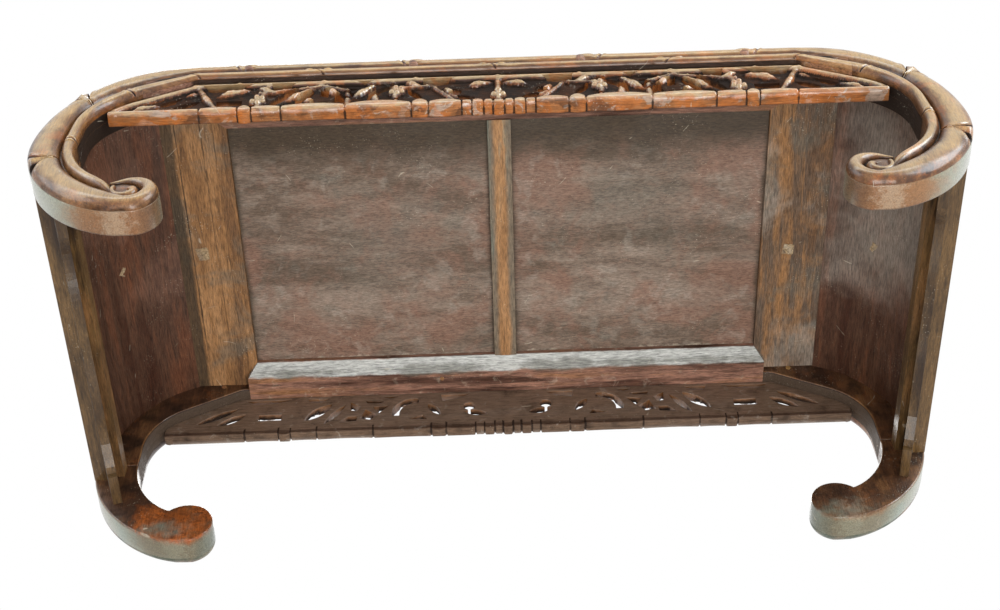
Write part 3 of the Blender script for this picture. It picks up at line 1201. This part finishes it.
class TABLE_OT_legs(Operator):
    """Carves the four knees and the four feet, with their bamboo mouldings"""
    bl_idname = "opium_table.legs"
    bl_label = "C Legs"

    def execute(self, context):
        forms = context.scene.table_legs, context.scene.table_bamboo
        parts = {"knee": knee_shells(*forms), "foot": foot_shells(*forms)}
        for (side, way_y), (end, way_x) in itertools.product(SIDES.items(), ENDS.items()):
            for part, shells in parts.items():
                make_piece(f"carved_{part}_{side}_{end}", shells, "Polished leg",
                           [f"{part}_{side}_{end}"], way_x, way_y)
        return {"FINISHED"}


# Ring knots along the rail's two mouldings, as X and lean, and the buds beside them, as X and
# the way they point
OUTER_KNOTS = ((-0.376, 0.4), (-0.137, 0.4), (0.150, -0.4), (0.378, -0.4))
INNER_KNOTS = ((-0.437, 0.9), (-0.258, 0.7), (-0.007, 0.5), (0.250, -0.7), (0.437, -0.9))
OUTER_BUDS = ((-0.374, 1), (-0.135, 1), (0.148, -1), (0.376, -1))
PAIRED_BUDS = (-0.258, -0.007, 0.250)


def rail_shells(legs, bamboo):
    """Both mouldings along a rail. The lower one breaks at the shoulders."""
    lap = HALF_LENGTH - legs.lap_out
    corner, _, _ = shoulder_points(legs)
    x = np.unique(np.concatenate([np.linspace(-lap, lap, 520), [-corner[0], corner[0]]]))
    top = np.stack([x, top_edge(legs, x) - 0.0003], 1)
    low = np.stack([x, shoulder_height(legs, x) + 0.0003], 1)
    split = lerp(top, low, bamboo.rail_share)
    outer_knots = [(place_along((top + split) / 2, x=at), bamboo.knot, lean) for at, lean in OUTER_KNOTS]
    inner_knots = [(place_along((low + split) / 2, x=at), bamboo.knot * 0.8, lean)
                   for at, lean in INNER_KNOTS]
    shells = [roll(legs, top, lerp(top, split, 0.96), bamboo.outer_height, outer_knots),
              roll(legs, lerp(low, split, 0.93), low, bamboo.inner_height, inner_knots, columns=14)]
    size = bamboo.bud_length, bamboo.bud_width, bamboo.bud_height
    for at, way in OUTER_BUDS:
        shells.append(bud(legs, (at, TOP_HEIGHT - 0.0084), (way, 0), size, bamboo.outer_height))
    small = 0.020, 0.009, 0.0028
    for at in PAIRED_BUDS:
        for way in (-1, 1):
            shells.append(bud(legs, (at + way * 0.003, TOP_HEIGHT - 0.027), (way, 0.25), small,
                              bamboo.inner_height * 0.8))
    return shells


class TABLE_OT_rails(Operator):
    """Lays the bamboo mouldings and their buds along both rails"""
    bl_idname = "opium_table.rails"
    bl_label = "Rail Mouldings"

    def execute(self, context):
        shells = rail_shells(context.scene.table_legs, context.scene.table_bamboo)
        for side, way in SIDES.items():
            make_piece(f"rail_mouldings_{side}", shells, "Polished rail", way_y=way)
        return {"FINISHED"}


class TABLE_OT_aprons(Operator):
    """Carves both pierced bamboo aprons"""
    bl_idname = "opium_table.aprons"
    bl_label = "Pierced Aprons"

    def execute(self, context):
        shell = carved_apron(context.scene.table_legs, context.scene.table_apron)
        for side, way in SIDES.items():
            make_piece(f"carved_apron_{side}", [shell], "Carved apron", [f"apron_{side}"], way_y=way)
        return {"FINISHED"}


class TABLE_OT_end_boards(Operator):
    """Bends the four end boards round the table's ends"""
    bl_idname = "opium_table.end_boards"
    bl_label = "Rolled End Boards"

    def execute(self, context):
        legs = context.scene.table_legs
        rise = TOP_HEIGHT - legs.waist
        low = math.asin((legs.board_low - legs.waist) / rise)
        spans = {"upper": (lap_curve(legs, legs.board_start), legs.board_joint),
                 "lower": (legs.board_joint, low)}
        for part, span in spans.items():
            angle = np.linspace(*span, 40)
            outline = np.concatenate([upper_curve(legs, angle), upper_curve(legs, angle[::-1], legs.board)])
            if not anticlockwise(outline):
                outline = outline[::-1]
            points, faces, _ = slab(outline, -INNER_Y, INNER_Y, HAIR, HAIR)
            reach = ((points[:, 0] - HALF_LENGTH + legs.curve_run) / legs.curve_run) ** 2
            reach += ((points[:, 2] - legs.waist) / rise) ** 2
            shell = points, faces, (reach > 0.95).astype(float)
            for end, way in ENDS.items():
                make_piece(f"bent_board_{part}_{end}", [shell], "End board",
                           [f"end_board_{part}_{end}"], way)
        return {"FINISHED"}


# Scraps on the cross boards: place, size and turn. Scraps on the end boards: distance from
# the middle, angle on the upper curve, size and turn.
PAPER_SCRAPS = {"cross_board_left": ((-0.4656, 0.0026), (0.018, 0.022), 8),
                "cross_board_right": ((0.4468, 0.0298), (0.017, 0.018), -8)}
END_SCRAPS = {"left": (-0.0081, 41.8, (0.013, 0.022), 30), "right": (0.0029, 46.8, (0.016, 0.020), 20)}


def paper_scrap(centre, along, across, size, turn, bend=0.0):
    """A torn scrap of paper: its edge is a rectangle whose radius wavers, its corners curl, and
    it bends to lie on a curved board."""
    columns = 48
    angle = np.linspace(0, 2 * np.pi, columns, endpoint=False)
    square = 1 / np.maximum(np.abs(np.cos(angle)), np.abs(np.sin(angle)))
    edge = 0.5 * np.minimum(square, 1.36) * (1 + 0.05 * np.sin(3 * angle + turn) + 0.03 * np.sin(7 * angle))
    share = np.linspace(1, 0.05, 6)[:, None]
    a, b = edge * share * np.cos(angle) * size[1], edge * share * np.sin(angle) * size[0]
    spin = math.radians(turn)
    u, v = a * math.cos(spin) - b * math.sin(spin), a * math.sin(spin) + b * math.cos(spin)
    along, across = np.array(along, float), np.array(across, float)
    normal = np.cross(along, across)
    lift = 0.0003 + 0.0008 * share ** 6 * capped(np.sin(2 * angle + 1)) + bend * u ** 2
    points = np.array(centre) + u[..., None] * along + v[..., None] * across + lift[..., None] * normal
    points = np.concatenate([points[:1] - 0.0006 * normal, points])
    wear = np.repeat(np.concatenate([[1.0], share[:, 0] ** 5]), columns)
    return points.reshape(-1, 3), tube_faces(len(points), columns), wear


class TABLE_OT_paper(Operator):
    """Sticks the blank scraps of old paper to the boards"""
    bl_idname = "opium_table.paper"
    bl_label = "Paper Scraps"

    def execute(self, context):
        legs = context.scene.table_legs
        for node, ((x, y), size, turn) in PAPER_SCRAPS.items():
            shell = paper_scrap((x, y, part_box(node)[0].z), (0, 1, 0), (1, 0, 0), size, turn)
            make_piece(f"paper_{node}", [shell], "Old paper")
        for end, (y, angle, size, turn) in END_SCRAPS.items():
            way = ENDS[end]
            at, ahead = upper_curve(legs, np.radians([angle, angle + 1]), legs.board)
            ahead = direction(ahead - at)
            shell = paper_scrap((way * at[0], y, at[1]), (way * ahead[0], 0, ahead[1]), (0, -way, 0),
                                size, turn, 3.0)
            make_piece(f"paper_end_{end}", [shell], "Old paper")
        return {"FINISHED"}


class TABLE_OT_frame_finishes(Operator):
    """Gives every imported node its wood"""
    bl_idname = "opium_table.frame_finishes"
    bl_label = "Frame Finishes"

    def execute(self, context):
        for node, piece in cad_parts.items():
            name = next(finish for start, finish in NODE_FINISHES.items() if node.startswith(start))
            if not piece.material_slots:
                piece.data.materials.append(finish_named(name))
            for slot in piece.material_slots:
                slot.material = finish_named(name)
        return {"FINISHED"}


# Stage

WARM, COOL = (1.0, 0.98, 0.95), (0.82, 0.93, 1.0)
# Lamps: place, size, power in watts and colour
LAMPS = {"sky": ((0.0, -2.6, 1.7), (4.8, 0.8), 34, (0.80, 0.92, 1.0)),
         "left": ((-2.6, -1.8, 0.5), (1.6, 2.2), 32, COOL),
         "right": ((2.6, -1.8, 0.5), (1.6, 2.2), 88, COOL),
         "overhead": ((-0.6, 1.1, 2.8), (1.8, 1.8), 55, WARM),
         "from_below": ((0.3, -0.6, -2.8), (2.4, 1.6), 88, WARM)}


def add_lamp(name, place, size, power, colour):
    """An area lamp that looks at the table's middle, with its width level."""
    data = bpy.data.lights.new(name, "AREA")
    data.shape, data.size, data.size_y = "RECTANGLE", size[0], size[1]
    data.energy, data.color = power, colour
    lamp = bpy.data.objects.new(name, data)
    bpy.context.scene.collection.objects.link(lamp)
    back = direction(np.array(place) - (0, 0, 0.2))
    right = direction(np.cross([0, 0, 1], back))
    axes = Matrix((right, np.cross(back, right), back)).transposed()
    lamp.matrix_world = Matrix.Translation(place) @ axes.to_4x4()


def floor_material(colour):
    """A pale floor that only shows from above: it is clear from below, for the rays that ask how
    much a lamp lights a point, and in gloss, so the table's underside is lit and seen."""
    material = bpy.data.materials.new("Pale floor")
    material.use_nodes = True
    graph = Graph(material.node_tree)
    shader = graph.nodes["Principled BSDF"]
    graph.fill(shader, {"Base Color": colour, "Roughness": 0.9, "Specular IOR Level": 0.1})
    path = graph.nodes.new("ShaderNodeLightPath").outputs
    gone = graph.calc("MAXIMUM", path["Is Shadow Ray"], path["Is Glossy Ray"])
    gone = graph.calc("MAXIMUM", graph.add("NewGeometry", "Backfacing"), gone)
    clear = graph.add("BsdfTransparent", 0)
    surface = graph.add("MixShader", 0, {0: gone, 1: shader.outputs[0], 2: clear})
    graph.fill(graph.nodes["Material Output"], {"Surface": surface})
    return material


def white_world(ambient):
    """The world lights softly, and is white to the camera, in gloss and through glass."""
    world = bpy.data.worlds.new("Studio")
    bpy.context.scene.world = world
    world.use_nodes = True
    graph = Graph(world.node_tree)
    path = graph.nodes.new("ShaderNodeLightPath").outputs
    seen = graph.calc("MAXIMUM", path["Is Glossy Ray"], path["Is Transmission Ray"])
    seen = graph.calc("MAXIMUM", path["Is Camera Ray"], seen)
    strength = graph.calc("MULTIPLY_ADD", seen, 1 - ambient, ambient)
    graph.fill(graph.nodes["Background"], {"Color": (1, 1, 1), "Strength": strength})


class TABLE_OT_stage(Operator):
    """Sets the floor, the lamps and the camera"""
    bl_idname = "opium_table.stage"
    bl_label = "Stage"

    def execute(self, context):
        form = context.scene.table_stage
        reach = 6.0
        floor = bpy.data.meshes.new("floor")
        floor.from_pydata([(-reach, -reach, 0), (reach, -reach, 0), (reach, reach, 0), (-reach, reach, 0)],
                          [], [(0, 1, 2, 3)])
        floor.materials.append(floor_material(form.floor))
        ground = bpy.data.objects.new("floor", floor)
        context.scene.collection.objects.link(ground)
        white_world(form.ambient)
        for name, settings in LAMPS.items():
            add_lamp(name, *settings)
        optics = bpy.data.cameras.new("camera")
        optics.lens, optics.sensor_width = form.lens, 36.0
        camera = bpy.data.objects.new("camera", optics)
        context.scene.collection.objects.link(camera)
        camera.location = form.eye
        camera.rotation_euler = [math.radians(angle) for angle in form.turn]
        context.scene.camera = camera
        context.scene.view_settings.view_transform = "Standard"
        return {"FINISHED"}


class TABLE_PT_panel(Panel):
    """Lists the table's pieces"""
    bl_label = "Opium Table"
    bl_idname = "TABLE_PT_panel"
    bl_space_type = "VIEW_3D"
    bl_region_type = "UI"
    bl_category = "Opium Table"

    def draw(self, context):
        for operator in OPERATORS:
            self.layout.operator(operator.bl_idname)


FORMS = {"table_legs": LegForm, "table_bamboo": BambooForm, "table_apron": ApronForm,
         "table_tones": WoodTones, "table_stage": StageForm}
OPERATORS = (TABLE_OT_frame_finishes, TABLE_OT_legs, TABLE_OT_rails, TABLE_OT_aprons,
             TABLE_OT_end_boards, TABLE_OT_paper, TABLE_OT_stage)
CLASSES = (*FORMS.values(), *OPERATORS, TABLE_PT_panel)


def register():
    for each in CLASSES:
        bpy.utils.register_class(each)
    for name, form in FORMS.items():
        setattr(bpy.types.Scene, name, PointerProperty(type=form))


def unregister():
    for name in FORMS:
        delattr(bpy.types.Scene, name)
    for each in reversed(CLASSES):
        bpy.utils.unregister_class(each)


def main():
    register()
    bpy.ops.opium_table.frame_finishes()
    bpy.ops.opium_table.legs()
    bpy.ops.opium_table.rails()
    bpy.ops.opium_table.aprons()
    bpy.ops.opium_table.end_boards()
    bpy.ops.opium_table.paper()
    bpy.ops.opium_table.stage()


if __name__ == "__main__":
    main()
